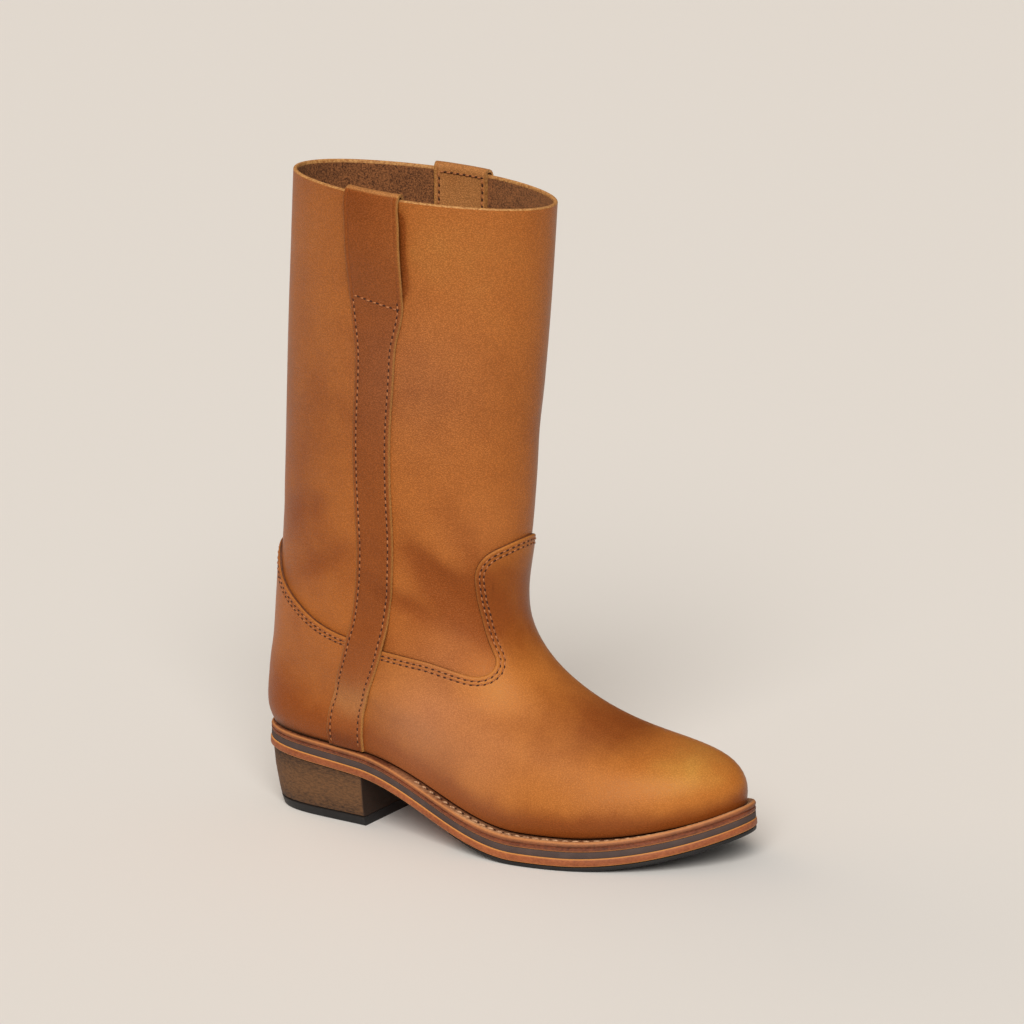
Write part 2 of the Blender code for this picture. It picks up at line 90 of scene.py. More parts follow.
def smoothCurve(knots, rows):
    # natural cubic spline through one row of values per knot, straight beyond its ends
    knots = np.asarray(knots, float)
    rows = np.asarray(rows, float).reshape(len(knots), -1)
    step = np.diff(knots)
    slope = np.diff(rows, axis=0) / step[:, None]
    system = np.eye(len(knots))
    bend = np.zeros_like(rows)
    for i in range(1, len(knots) - 1):
        system[i, i - 1 : i + 2] = step[i - 1], 2 * (step[i - 1] + step[i]), step[i]
        bend[i] = 6 * (slope[i] - slope[i - 1])
    bend = np.linalg.solve(system, bend)

    def at(values):
        values = np.atleast_1d(np.asarray(values, float))
        i = np.clip(np.searchsorted(knots, values) - 1, 0, len(step) - 1)
        inside = np.clip(values, knots[0], knots[-1])
        d, beyond = (inside - knots[i])[:, None], (values - inside)[:, None]
        first = slope[i] - step[i][:, None] * (2 * bend[i] + bend[i + 1]) / 6
        third = (bend[i + 1] - bend[i]) / (6 * step[i][:, None])
        here = rows[i] + first * d + bend[i] / 2 * d**2 + third * d**3
        return here + beyond * (first + bend[i] * d + 3 * third * d**2)

    return at


def unit(vectors):
    return vectors / np.linalg.norm(vectors, axis=-1, keepdims=True)


def runLength(points):
    return np.concatenate([[0], np.cumsum(np.linalg.norm(np.diff(points, axis=0), axis=1))])


def alongLine(places, run, points):
    # the points of a line that lie at these places of its run
    return np.stack([np.interp(places, run, column) for column in points.T], axis=1)


def lengthShare(turn):
    return (1 - np.cos(turn)) / 2  # 0 at the back of the foot, 1 at its front


ends = np.diff(sections[:, :4], axis=0)
steps = np.hypot(ends[:, 0], ends[:, 1]) + np.hypot(ends[:, 2], ends[:, 3])
levels = np.concatenate([[0], np.cumsum(steps)]) / steps.sum()
sectionAt = smoothCurve(levels, sections)
widthShares = smoothCurve(last["stations"], np.eye(len(last["stations"])))
middleLine = smoothCurve(last["swingStations"], last["swing"])

# Soft troughs worn into the leather, each with low ridges along its sides.
# x and z of the middle, side (-1 outer, 1 inner), lean in degrees, half length, half width, depth
creases = np.array([
    (131.0, 137.0, -1, -54.0, 32.0, 9.0, 2.2),
    (112.0, 128.0, -1, -28.0, 24.0, 6.0, 1.0),
    (140.0, 170.0, -1, -60.0, 26.0, 10.0, 0.9),
    (60.0, 150.0, -1, 24.0, 26.0, 8.0, 0.8),
    (44.0, 178.0, -1, 18.0, 24.0, 9.0, 0.6),
    (150.0, 128.0, -1, -78.0, 18.0, 7.0, 0.8),
    (128.0, 240.0, -1, -20.0, 42.0, 16.0, 0.45),
    (140.0, 305.0, -1, 15.0, 34.0, 18.0, 0.45),
    (50.0, 270.0, -1, -70.0, 46.0, 14.0, 0.3),
    (122.0, 140.0, 1, -48.0, 34.0, 9.0, 1.4),
    (100.0, 158.0, 1, -20.0, 30.0, 7.0, 0.8),
    (58.0, 146.0, 1, 22.0, 26.0, 8.0, 0.9),
    (130.0, 230.0, 1, -12.0, 44.0, 16.0, 0.9),
    (60.0, 290.0, 1, 60.0, 40.0, 15.0, 0.7),
])
creaseForm = {"side change": 12.0, "ridges": 0.6, "fade": 0.7}  # the side change in millimetres


def creaseAt(spots):
    total = np.zeros(len(spots))
    for x, z, side, lean, halfLength, halfWidth, depth in creases:
        c, s = math.cos(math.radians(lean)), math.sin(math.radians(lean))
        along = ((spots[:, 0] - x) * c + (spots[:, 2] - z) * s) / halfLength
        across = ((spots[:, 2] - z) * c - (spots[:, 0] - x) * s) / halfWidth
        onSide = 0.5 + 0.5 * np.tanh(side * spots[:, 1] / creaseForm["side change"])
        trough = np.exp(-(along**2) - creaseForm["fade"] * across**2)
        total -= depth * onSide * (1 - creaseForm["ridges"] * across**2) * trough
    return total


def lastSkin(turn, level):
    # turn goes round from the back over the outer side, level from the welt to the collar
    row = sectionAt(level)
    backX, backZ, frontX, frontZ, follow, swing = row.T[:6]
    share = lengthShare(turn)
    x = backX + (frontX - backX) * share
    width = (widthShares(share) * row[:, 6:]).sum(axis=1)
    y = swing * middleLine(share)[:, 0] - np.sin(turn) * width
    chord = soleHeight(backX) + (soleHeight(frontX) - soleHeight(backX)) * share
    z = backZ + (frontZ - backZ) * share + follow * (soleHeight(x) - chord)
    return np.stack([x, y, z], axis=1)


def skinFrame(turn, level):
    # points on the last with their two tangents and normal
    e = 1e-4
    around = (lastSkin(turn + e, level) - lastSkin(turn - e, level)) / (2 * e)
    up = (lastSkin(turn, level + e) - lastSkin(turn, level - e)) / (2 * e)
    return lastSkin(turn, level), around, up, unit(np.cross(around, up))


def skinPoint(turn, level, out):
    turn, level, out = np.broadcast_arrays(*[np.asarray(v, float) for v in (turn, level, out)])
    spot, _, _, normal = skinFrame(turn.ravel(), level.ravel())
    return (spot + normal * (out.ravel() + creaseAt(spot))[:, None]).reshape(turn.shape + (3,))


def turnAt(x, level):
    row = sectionAt(level)
    return np.arccos(1 - 2 * np.clip((x - row[:, 0]) / (row[:, 2] - row[:, 0]), 0, 1))


def sideSpot(x, z):
    # turn and level of the points of the outer side that lie here in side view
    low, high = np.zeros(len(x)), np.ones(len(x))
    for _ in range(last["halvings"]):
        level = (low + high) / 2
        under = lastSkin(turnAt(x, level), level)[:, 2] < z
        low, high = np.where(under, level, low), np.where(under, high, level)
    return turnAt(x, level), level


def toFrame(points):
    return (np.asarray(points) - last["middle"]) * mm


def closeGrid(values, closeRows, closeColumns):
    values = np.concatenate([values, values[:1]]) if closeRows else values
    return np.concatenate([values, values[:, :1]], axis=1) if closeColumns else values


finish = {"weld": 1e-7, "sharp": 40.0}  # metres, degrees


def layGrid(name, points, slots, closeRows, closeColumns, **fields):
    # a grid primitive whose points are laid on the form, closed on itself along its rows, its columns or both
    # fields give one number per point, painted on the mesh for the materials
    for key, field in fields.items():
        fields[key] = closeGrid(np.broadcast_to(field, points.shape[:2]), closeRows, closeColumns)
    points = closeGrid(points, closeRows, closeColumns)
    rows, columns = points.shape[:2]
    bpy.ops.object.select_all(action="DESELECT")
    bpy.ops.mesh.primitive_grid_add(x_subdivisions=columns - 1, y_subdivisions=rows - 1, size=1)
    piece = bpy.context.object
    piece.name = piece.data.name = name
    piece.data.vertices.foreach_set("co", toFrame(points).ravel())
    faceSlots = np.repeat(slots[: rows - 1], columns - 1).astype(np.int32)
    piece.data.polygons.foreach_set("material_index", faceSlots)
    for key, field in fields.items():
        layer = piece.data.attributes.new(key, "FLOAT", "POINT")
        layer.data.foreach_set("value", field.ravel().astype(np.float32))
    bpy.ops.object.mode_set(mode="EDIT")
    bpy.ops.mesh.select_all(action="SELECT")
    bpy.ops.mesh.remove_doubles(threshold=finish["weld"])
    bpy.ops.mesh.dissolve_degenerate(threshold=finish["weld"])
    bpy.ops.mesh.select_all(action="DESELECT")
    bpy.ops.mesh.select_non_manifold(extend=False)
    bpy.ops.mesh.fill_holes(sides=0)
    bpy.ops.mesh.select_all(action="SELECT")
    bpy.ops.mesh.normals_make_consistent(inside=False)
    bpy.ops.object.mode_set(mode="OBJECT")
    bpy.ops.object.shade_smooth_by_angle(angle=math.radians(finish["sharp"]))
    return piece


print("scene: last ready")

# Materials


def colour(code):
    parts = [int(code[i : i + 2], 16) / 255 for i in (1, 3, 5)]
    return (*[v / 12.92 if v <= 0.04045 else ((v + 0.055) / 1.055) ** 2.4 for v in parts], 1.0)


def perMetre(size):
    return 1 / (size * mm)  # a texture's scale, from the size of its pattern in millimetres


def newMaterial(name):
    material = bpy.data.materials.new(name)
    material.use_nodes = True
    return material, material.node_tree.nodes["Principled BSDF"]


def addNode(material, kind, inputs=None, **settings):
    node = material.node_tree.nodes.new("ShaderNode" + kind)
    for key, value in settings.items():
        setattr(node, key, value)
    wire(material, node, inputs or {})
    return node.outputs


def wire(material, node, inputs):
    for key, value in inputs.items():
        if isinstance(value, bpy.types.NodeSocket):
            material.node_tree.links.new(value, node.inputs[key])
        else:
            node.inputs[key].default_value = value


# Waxed pull-up leather: drum-dyed hide filled with oil and wax. Where it is stretched or bent the oil moves
# away and the tan turns paler and yellower; elsewhere it is cloudy brown, with a fine hair-cell grain and a
# low gloss. A pinkish film lies over it, partly wax bloom where it was handled least and partly a painted
# sheen.
# The tone it is given carries painted highlights and painted shade as well as the leather's own tone.
def waxedLeather(name, deep, tan, pale, cut, look):
    material, shader = newMaterial(name)
    place = addNode(material, "TexCoord")["Object"]
    level = addNode(material, "Mapping", {"Vector": place, "Scale": look["flatten"]})[0]
    clouds, mottle, pores = (
        addNode(material, "TexNoise", {"Vector": at, "Scale": perMetre(look[key]), "Detail": detail})["Fac"]
        for key, at, detail in (("clouds", place, 3.0), ("mottle", place, 5.0), ("pores", level, 3.0))
    )
    cells = addNode(
        material, "TexVoronoi", {"Vector": level, "Scale": perMetre(look["cells"]), "Smoothness": 0.6},
        feature="SMOOTH_F1",
    )["Distance"]
    # the pinkish film read here is partly wax bloom and partly a painted sheen
    rugged, tone, bloomAndSheen, wear = (
        addNode(material, "Attribute", attribute_name=field)["Fac"]
        for field in ("rugged", "tone", "bloomAndSheen", "wear")
    )
    for pattern, weight in ((clouds, 1.1), (mottle, 0.5), (pores, 0.1)):
        tone = addNode(material, "Math", {0: pattern, 1: weight, 2: tone}, operation="MULTIPLY_ADD")[0]
    tanShare, paleShare = (
        addNode(
            material, "MapRange", {"Value": tone, "From Min": low, "From Max": high},
            interpolation_type="SMOOTHSTEP",
        )[0]
        for low, high in ((0.3, 1.1), (1.0, 2.1))
    )
    # below the deep tone the leather turns near black: painted shade, for the corner at the welt, under the
    # pull loop and in the deepest troughs
    paintedShade = addNode(material, "MapRange", {"Value": tone, "From Min": -0.4, "From Max": -1.4})[0]
    coats = (  # each colour lies over the ones before it
        (tanShare, tan), (paintedShade, look["paintedShade"]), (paleShare, pale), (bloomAndSheen, look["bloomAndSheen"]), (wear, cut),
    )
    tint = colour(deep)
    for share, over in coats:
        tint = addNode(material, "Mix", {0: share, 6: tint, 7: colour(over)}, data_type="RGBA")[2]
    hollows = addNode(material, "Math", {0: pores, 1: 0.6, 2: cells}, operation="MULTIPLY_ADD")[0]
    relief = addNode(  # high and light on each hair cell, low and dark between them
        material, "MapRange",
        {"Value": hollows, "From Min": 0.35, "From Max": 0.9, "To Min": 1.08, "To Max": look["between"]},
    )[0]
    grained = addNode(
        material, "Mix", {0: rugged, 6: tint, 7: relief}, data_type="RGBA", blend_type="MULTIPLY"
    )[2]
    smooth, dull = look["gloss"]
    gloss = addNode(
        material, "MapRange",
        {"Value": mottle, "From Min": 0.3, "From Max": 0.7, "To Min": smooth, "To Max": dull},
    )[0]
    grain = addNode(
        material, "Bump", {"Height": relief, "Strength": look["bump"], "Distance": look["grainDepth"] * mm}
    )[0]
    wire(material, shader, {
        "Base Color": grained, "Roughness": gloss, "Normal": grain, "IOR": 1.43,
        "Specular Tint": colour("#f0c79a"), "Coat Weight": 0.04, "Coat Roughness": 0.36, "Coat IOR": 1.45,
    })
    return material


# Raw flesh side of the same hide: brown, dry and fuzzy, with loose fibres that catch light at a low angle.
def fleshSide(name):
    material, shader = newMaterial(name)
    place = addNode(material, "TexCoord")["Object"]
    fibres = addNode(
        material, "TexNoise", {"Vector": place, "Scale": perMetre(0.9), "Detail": 4.0, "Roughness": 0.8}
    )["Fac"]
    patches = addNode(material, "TexNoise", {"Vector": place, "Scale": perMetre(14.0), "Detail": 4.0})["Fac"]
    both = addNode(material, "Math", {0: patches, 1: 0.15, 2: fibres}, operation="MULTIPLY_ADD")[0]
    share = addNode(material, "MapRange", {"Value": both, "From Min": 0.46, "From Max": 0.7})[0]
    tint = addNode(
        material, "Mix", {0: share, 6: colour("#3a1b0b"), 7: colour("#a2683c")}, data_type="RGBA"
    )[2]
    nap = addNode(material, "Bump", {"Height": fibres, "Strength": 0.9, "Distance": 0.7 * mm})[0]
    wire(material, shader, {
        "Base Color": tint, "Normal": nap, "Roughness": 0.95,
        "Sheen Weight": 0.35, "Sheen Roughness": 0.5, "Sheen Tint": colour("#c99a6c"),
    })
    return material


# A finish of two close colours in patches, with a fine relief: each look below says what it gives the eye.
def plainFinish(name, dark, light, rough, look):
    material, shader = newMaterial(name)
    place = addNode(material, "TexCoord")["Object"]
    patches, relief = (
        addNode(material, "TexNoise", {"Vector": place, "Scale": perMetre(size), "Detail": detail})["Fac"]
        for size, detail in (look["patches"], look["relief"])
    )
    (low, high), (strength, height) = look["range"], look["bump"]
    share = addNode(material, "MapRange", {"Value": patches, "From Min": low, "From Max": high})[0]
    tint = addNode(material, "Mix", {0: share, 6: colour(dark), 7: colour(light)}, data_type="RGBA")[2]
    bump = addNode(material, "Bump", {"Height": relief, "Strength": strength, "Distance": height * mm})[0]
    wire(material, shader, {"Base Color": tint, "Normal": bump, "Roughness": rough})
    return material


# Vegetable-tanned sole and welt leather: firm, trimmed and burnished at its edge. Fine streaks follow the
# cut, the arrises are rubbed bright and the raw ledge is paler, with short wrinkles.
def soleLeather(name, base, streak, rubbed, ledge, rough):
    material, shader = newMaterial(name)
    place = addNode(material, "TexCoord")["Object"]
    stretch = addNode(material, "Mapping", {"Vector": place, "Scale": (0.6, 0.6, 1.0)})[0]
    streaks = addNode(
        material, "TexNoise", {"Vector": stretch, "Scale": perMetre(1.3), "Detail": 5.0, "Roughness": 0.7}
    )["Fac"]
    blotch = addNode(material, "TexNoise", {"Vector": place, "Scale": perMetre(22.0), "Detail": 3.0})["Fac"]
    both = addNode(material, "Math", {0: blotch, 1: 0.6, 2: streaks}, operation="MULTIPLY_ADD")[0]
    share = addNode(material, "MapRange", {"Value": both, "From Min": 0.6, "From Max": 1.0})[0]
    tint = addNode(material, "Mix", {0: share, 6: colour(streak), 7: colour(base)}, data_type="RGBA")[2]
    wrinkled = addNode(material, "Mix", {0: share, 6: colour(base), 7: colour(ledge)}, data_type="RGBA")[2]
    raw, wear = (addNode(material, "Attribute", attribute_name=field)["Fac"] for field in ("raw", "wear"))
    bare = addNode(material, "Mix", {0: raw, 6: tint, 7: wrinkled}, data_type="RGBA")[2]
    worn = addNode(material, "Mix", {0: wear, 6: bare, 7: colour(rubbed)}, data_type="RGBA")[2]
    fibre = addNode(material, "Bump", {"Height": streaks, "Strength": 0.7, "Distance": 0.4 * mm})[0]
    wire(material, shader, {"Base Color": worn, "Normal": fibre, "Roughness": rough})
    return material


# Stacked heel leather: lifts of board and leather pressed together and sanded, so short fibre marks run
# level round a dull brown block whose tone drifts a little over its height.
def stackedLeather(name):
    material, shader = newMaterial(name)
    place = addNode(material, "TexCoord")["Object"]
    stretch = addNode(material, "Mapping", {"Vector": place, "Scale": (0.35, 0.35, 1.0)})[0]
    fibres = addNode(
        material, "TexNoise", {"Vector": stretch, "Scale": perMetre(0.9), "Detail": 4.0, "Roughness": 0.75}
    )["Fac"]
    drift = addNode(  # the bands of this wave lie tau times 5.6 mm apart
        material, "TexWave",
        {"Vector": place, "Scale": perMetre(5.6) / 20, "Distortion": 0.6, "Detail": 1.0},
        bands_direction="Z",
    )["Fac"]
    both = addNode(material, "Math", {0: drift, 1: 0.22, 2: fibres}, operation="MULTIPLY_ADD")[0]
    share = addNode(material, "MapRange", {"Value": both, "From Min": 0.42, "From Max": 0.8})[0]
    tint = addNode(
        material, "Mix", {0: share, 6: colour("#2f1c0d"), 7: colour("#6e4b2b")}, data_type="RGBA"
    )[2]
    # the breast is painted nearly black: partly dark dye, partly painted shade under the heel
    breast = addNode(material, "Attribute", attribute_name="breast")["Fac"]
    dyedAndShaded = addNode(material, "Mix", {0: breast, 6: tint, 7: colour("#2a1a0e")}, data_type="RGBA")[2]
    sanded = addNode(material, "Bump", {"Height": fibres, "Strength": 0.6, "Distance": 0.3 * mm})[0]
    wire(material, shader, {"Base Color": dyedAndShaded, "Normal": sanded, "Roughness": 0.75})
    return material


# Pattern sizes in millimetres; the hair cells are drawn twice as coarse as calf's so that they show
# the near-black colour in it is painted shade
# the pinkish colour in it is partly wax bloom and partly a painted sheen
grainLook = {
    "clouds": 95.0, "mottle": 15.0, "pores": 0.42, "cells": 0.6, "between": 0.58, "flatten": (0.7, 0.7, 1.25),
    "gloss": (0.36, 0.46), "bump": 0.9, "grainDepth": 0.4, "bloomAndSheen": "#c98f70", "paintedShade": "#2c150a",
}
lastedLook = {**grainLook, "between": 0.66, "bump": 0.6}  # pulled smooth over the last
# Cut edge of oiled leather: paler than the face, yellowish, with compressed fibres running along it
edgeLook = {"patches": (1.2, 4.0), "range": (0.35, 0.65), "relief": (1.2, 4.0), "bump": (0.5, 0.2)}
# Moulded rubber: even and matt, with a fine grit from the mould and a little dust in it
rubberLook = {"patches": (9.0, 4.0), "range": (0.45, 0.8), "relief": (0.8, 3.0), "bump": (0.3, 0.15)}
# Waxed linen thread: two plies twisted together, brown, with a dull shine
threadLook = {"patches": (1.4, 2.0), "range": (0.35, 0.65), "relief": (1.4, 2.0), "bump": (0.4, 0.1)}
shaftLeather = waxedLeather("waxed_leather_shaft", "#964d1c", "#bd7033", "#cd914b", "#b98546", grainLook)
vampLeather = waxedLeather("waxed_leather_vamp", "#8c481a", "#bb7230", "#d2a04c", "#bd8748", lastedLook)
stripLeather = waxedLeather("waxed_leather_strip", "#7d3c16", "#9c5424", "#cb8c54", "#c69550", grainLook)
flesh = fleshSide("raw_flesh_side")
paleEdge = plainFinish("cut_leather_edge", "#96602c", "#c8965a", 0.7, edgeLook)
# dark cut edge of the overlays: partly burnished, partly a painted shadow along their step
darkEdge = plainFinish("burnished_and_shaded_edge", "#44220c", "#6d3a16", 0.7, edgeLook)
weltLeather = soleLeather("veg_tan_welt", "#824426", "#4c2210", "#c8854c", "#cba47c", 0.6)
outsoleLeather = soleLeather("veg_tan_outsole", "#a45c31", "#7d3f1d", "#d9954f", "#a45c31", 0.55)
insoleLeather = soleLeather("veg_tan_insole", "#9a6a3f", "#7a4d2a", "#a87a4c", "#9a6a3f", 0.7)
greyRubber = plainFinish("grey_midsole_rubber", "#453735", "#524340", 0.8, rubberLook)
blackRubber = plainFinish("black_sole_rubber", "#0e0f13", "#1a1b1e", 0.6, rubberLook)
heelLeather = stackedLeather("stacked_heel_leather")
brownThread = plainFinish("waxed_brown_thread", "#834820", "#b17244", 0.6, threadLook)
paleThread = plainFinish("waxed_pale_thread", "#8d684c", "#cda684", 0.6, threadLook)
needleHoleShade, holeShader = newMaterial("needle_hole_shade")  # painted shade of a pricked hole: a dark lens, as nearly no light would come back out of it
wire(needleHoleShade, holeShader, {"Base Color": colour("#3e1d0f"), "Roughness": 0.9})
print("scene: materials ready")

# Tone of the leather in soft patches: partly oil drawn out (paler) or gathered (darker), partly painted
# highlights (on the toe and the right of the shaft) and painted shade (on the outer side of the heel and on
# the instep).
# x, y, z of the middle, radius, how much paler, how much wax bloom and painted sheen
tonePatches = np.array([
    (264.0, -12.0, 51.0, 27.0, 0.68, 0.0),
    (240.0, -40.0, 38.0, 26.0, -0.05, 0.05),
    (160.0, -34.0, 92.0, 16.0, 0.6, 0.0),
    (118.0, -40.0, 66.0, 28.0, 0.1, 0.4),
    (160.0, -46.0, 52.0, 28.0, 0.1, 0.25),
    (206.0, -38.0, 62.0, 22.0, 0.05, 0.12),
    (219.0, -50.0, 28.0, 24.0, -0.05, 0.0),
    (45.0, -36.0, 150.0, 34.0, -0.25, 0.0),
    (162.0, 4.0, 292.0, 30.0, 0.15, 0.0),
    (218.0, -2.0, 74.0, 30.0, -0.5, 0.0),
    (247.0, -14.0, 64.0, 16.0, -0.1, 0.0),
    (160.0, 2.0, 126.0, 22.0, -0.3, 0.0),
    (132.0, -36.0, 105.0, 16.0, 0.0, 0.1),
    (150.0, -26.0, 172.0, 22.0, 0.25, 0.05),
    (136.0, -42.0, 142.0, 26.0, -0.15, 0.0),
    (22.0, -30.0, 52.0, 26.0, -0.45, 0.0),
    (10.0, 0.0, 75.0, 30.0, -0.3, 0.0),
    (150.0, -30.0, 140.0, 14.0, -0.3, 0.0),
    (138.0, -36.0, 314.0, 36.0, 0.38, 0.0),
    (120.0, -46.0, 255.0, 40.0, 0.0, 0.15),
    (40.0, -34.0, 250.0, 50.0, -0.1, 0.0),
    (165.0, 40.0, 52.0, 36.0, 0.2, 0.3),
    (136.0, 42.0, 146.0, 24.0, -0.3, 0.0),
    (258.0, 22.0, 50.0, 22.0, 0.4, 0.0),
])
weltShade = {"height": 13.0, "amount": 0.95}  # painted shade: darker towards the welt
weltLineShade = {"height": 1.8, "amount": 1.6}  # and darkest right in the corner, a painted shadow
creaseShade = 0.3  # painted shade in the troughs, for each millimetre of depth, and a little painted light on their ridges
ruggedness = {"foot": 0.7, "from": 110.0, "to": 230.0}  # share of grain on the foot, rising to 1 up the shaft


def leatherFields(points, wear=0.0, extraTone=0.0):
    spots = points.reshape(-1, 3)
    reach = np.exp(-((spots[:, None, :] - tonePatches[:, :3]) ** 2).sum(axis=2) / tonePatches[:, 3] ** 2)
    tone, bloomAndSheen = (reach @ tonePatches[:, 4:]).T
    above = np.clip(spots[:, 2] - soleHeight(spots[:, 0]), 0, None)
    # painted shade in the creases and towards the welt
    tone += creaseShade * creaseAt(spots)
    for shade in (weltShade, weltLineShade):
        tone -= shade["amount"] * np.exp(-((above / shade["height"]) ** 2))
    rugged = np.interp(spots[:, 2], (ruggedness["from"], ruggedness["to"]), (ruggedness["foot"], 1.0))
    tone, bloomAndSheen, rugged = (field.reshape(points.shape[:2]) for field in (tone, bloomAndSheen, rugged))
    return {"tone": tone + extraTone, "bloomAndSheen": bloomAndSheen, "rugged": rugged, "wear": wear}


def dress(piece, materials, node):
    for material in materials:
        piece.data.materials.append(material)
    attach(piece, "root")
    if node:
        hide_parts(node)
    print("scene:", piece.name, len(piece.data.polygons), "faces")


# Upper: grain side out, flesh side in, a rounded cut edge at the collar
upper = {
    "around": 216,
    "rows": 150,
    "wall": 2.2,
    "edge from": 1.6,  # below the collar
    "edge": (  # down from the collar, out from the grain side
        (0.9, 0.0), (0.45, -0.12), (0.15, -0.35), (0.0, -0.75), (0.0, -1.45), (0.15, -1.85), (0.5, -2.1),
    ),
    # where the pull loop stands over the shaft, a painted shadow is laid on it
    "under loop": (100.0, 322.0, 17.0, 22.0),  # x and z of its middle, half width, half height
    "loop corners": 8,  # the higher, the squarer
    "loop shadow": -2.4,
}
climb = np.linspace(0, 1 - upper["edge from"] / last["shaftLength"], upper["rows"])
edgeLevels = [1 - down / last["shaftLength"] for down, _ in upper["edge"]]
edgeOuts = [out for _, out in upper["edge"]]
profileLevel = np.array([*climb, *edgeLevels, *climb[::-1]])
profileOut = np.array([*np.zeros(len(climb)), *edgeOuts, *np.full(len(climb), -upper["wall"])])
slots = np.array([*np.zeros(len(climb)), *np.ones(len(edgeOuts)), *np.full(len(climb), 2)])
turns = np.arange(upper["around"]) * 2 * np.pi / upper["around"]
upperPoints = skinPoint(turns[None, :], profileLevel[:, None], profileOut[:, None])
# painted shadow on the shaft's grain side under the pull loop
loopX, loopZ, loopWide, loopTall = upper["under loop"]
besideLoop = ((upperPoints[..., 0] - loopX) / loopWide) ** upper["loop corners"]
besideLoop += ((upperPoints[..., 2] - loopZ) / loopTall) ** upper["loop corners"]
loopShadow = upper["loop shadow"] * np.exp(-besideLoop) * (profileOut > -upper["wall"])[:, None]
upperFields = leatherFields(upperPoints, 0.0, loopShadow)
upperPiece = layGrid("upper_leather", upperPoints, slots, True, True, **upperFields)
dress(upperPiece, [shaftLeather, paleEdge, flesh], "upper")

# Overlays: top edges in side view, from the seam under the side strip to the middle line
overlay = {
    "foot": 0.004,
    "top": 2.1,
    "under": 0.15,
    "rows": 54,
    "step": 1.5,
    "band": (0.0, 0.2, 0.5, 1.0, 1.7, 2.1, 2.4, 2.7, 3.2, 4.0, 4.5, 4.8, 5.1, 5.6, 6.6, 8.0, 10.0),
    "rows of thread": (2.4, 4.7),
    "groove": 0.22,
    "roll": 0.75,
    "rim wear": 0.3,
    "rim width": 0.6,
}
cutForm = {"roll width": 0.35, "roll power": 1.5, "groove width": 0.45}  # of every cut edge and thread groove
# x, z, and where the line from that point meets the welt, in degrees round from the back
vampEdge = np.array([
    (85.0, 105.4, 57), (94.4, 102.8, 63), (103.0, 101.4, 70), (111.5, 100.0, 76), (119.5, 98.6, 82),
    (127.3, 96.5, 88), (134.0, 94.5, 94), (140.0, 92.7, 100), (145.0, 91.7, 106), (149.0, 91.9, 112),
    (152.1, 93.5, 118), (153.7, 96.2, 123.5), (153.7, 99.4, 129), (152.1, 103.3, 134), (149.6, 108.8, 139),
    (147.5, 115.0, 143.5), (145.8, 122.5, 148.5), (144.2, 131.3, 154), (143.6, 140.0, 160),
    (143.8, 146.5, 163.5), (145.9, 153.0, 166.5), (148.7, 157.0, 169), (152.0, 159.9, 171.5),
    (156.0, 162.3, 174), (159.4, 164.3, 177), (999.0, 165.6, 180),
])
counterEdge = np.array([
    (83.6, 106.3, 56.5), (70.4, 108.4, 50), (62.3, 110.3, 46), (54.5, 112.8, 42), (47.1, 116.0, 37.5),
    (39.2, 120.5, 33), (29.5, 126.6, 27.5), (20.8, 134.4, 21), (15.8, 143.0, 13.5), (13.3, 148.0, 6.5),
    (-99.0, 150.5, 0),
])


def edgeLine(table, middle):
    # the whole top edge, both sides, as evenly spaced turns and levels with their feet on the welt
    turn, level = sideSpot(table[:, 0], table[:, 1])
    foot = np.radians(table[:, 2])
    turn = np.concatenate([turn, 2 * middle - turn[-2::-1]])
    level = np.concatenate([level, level[-2::-1]])
    foot = np.concatenate([foot, 2 * middle - foot[-2::-1]])
    run = runLength(lastSkin(turn, level))
    curve = smoothCurve(run, np.column_stack([turn, level, foot]))
    return curve(np.linspace(0, run[-1], int(run[-1] / overlay["step"])))


def insetFromEdge(line, distance):
    # the line parallel to the edge, this far inside the piece, measured on the last
    spot, around, up, normal = skinFrame(line[:, 0], line[:, 1])
    into = unit(np.cross(normal, np.gradient(spot, axis=0)))
    roundSquare, upSquare, skew, intoRound, intoUp = (
        (a * b).sum(axis=1) for a, b in ((around, around), (up, up), (around, up), (into, around), (into, up))
    )
    spread = roundSquare * upSquare - skew**2
    turnShare = (intoRound * upSquare - intoUp * skew) / spread
    levelShare = (intoUp * roundSquare - intoRound * skew) / spread
    return line[:, 0] + distance * turnShare, line[:, 1] + distance * levelShare


def reliefAt(distance, roll, groove, rows):
    # the cut edge is rolled down and each row of thread lies in a groove
    rolled = roll * np.exp(-((distance / cutForm["roll width"]) ** cutForm["roll power"]))
    grooves = sum(np.exp(-(((distance - row) / cutForm["groove width"]) ** 2)) for row in rows)
    return -rolled - groove * grooves


